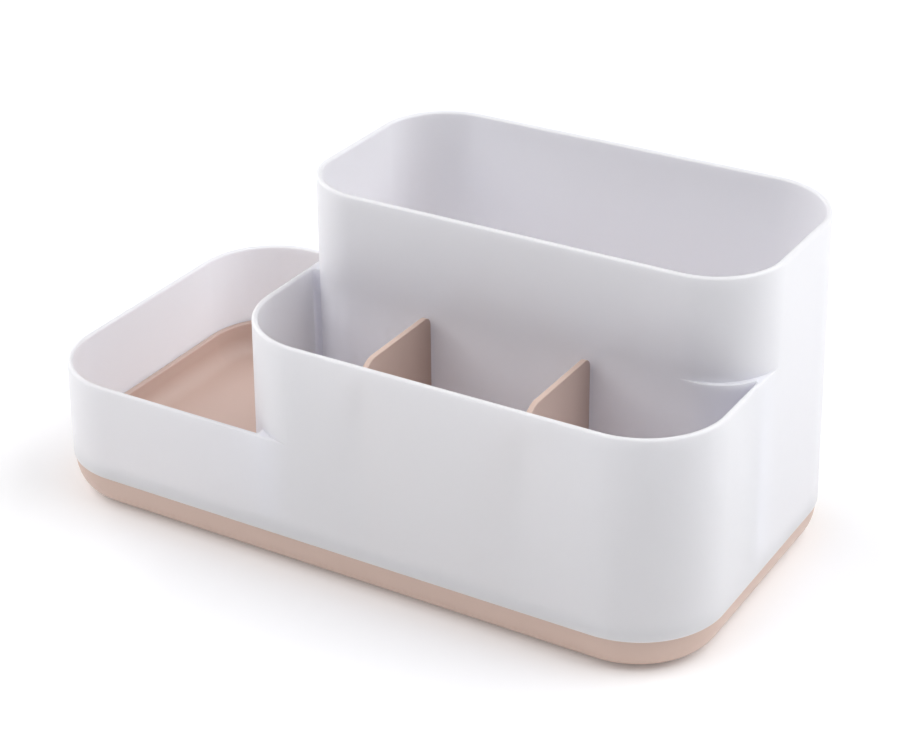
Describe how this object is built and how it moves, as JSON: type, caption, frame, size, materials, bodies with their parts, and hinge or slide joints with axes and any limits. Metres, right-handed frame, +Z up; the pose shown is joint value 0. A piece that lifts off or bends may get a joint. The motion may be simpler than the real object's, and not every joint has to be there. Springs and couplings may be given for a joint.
{
  "type": "desk organizer",
  "caption": "Stepped desk organizer: a white shell with low, middle and tall compartments on a beige dished base tray, with lift-out dividers in the middle.",
  "frame": {"origin": "on the desk, below the middle of the organizer's bounding box", "axes": "+X along the long side, from the low tier towards the tall tier; +Y from the front, where the middle tier is, to the back; +Z up"},
  "size_m": [0.26, 0.137, 0.123],
  "materials": {
    "white_plastic": "satin, finely textured moulding",
    "beige_plastic": "satin, finely textured moulding",
    "pad_rubber": "matt"
  },
  "bodies": {
    "base": {"base_tray": "beige_plastic", "foot_front_left": "pad_rubber", "foot_front_right": "pad_rubber", "foot_back_left": "pad_rubber", "foot_back_right": "pad_rubber"},
    "shell": {"shell": "white_plastic"},
    "divider_left": {"divider_left": "beige_plastic"},
    "divider_right": {"divider_right": "beige_plastic"}
  },
  "joints": [
    {"name": "shell_lift", "type": "slide", "parent": "base", "child": "shell", "axis": [0, 0, 1], "range_m": [0, 0.1]},
    {"name": "divider_left_lift", "type": "slide", "parent": "base", "child": "divider_left", "axis": [0, 0, 1], "range_m": [0, 0.12]},
    {"name": "divider_right_lift", "type": "slide", "parent": "base", "child": "divider_right", "axis": [0, 0, 1], "range_m": [0, 0.12]}
  ]
}
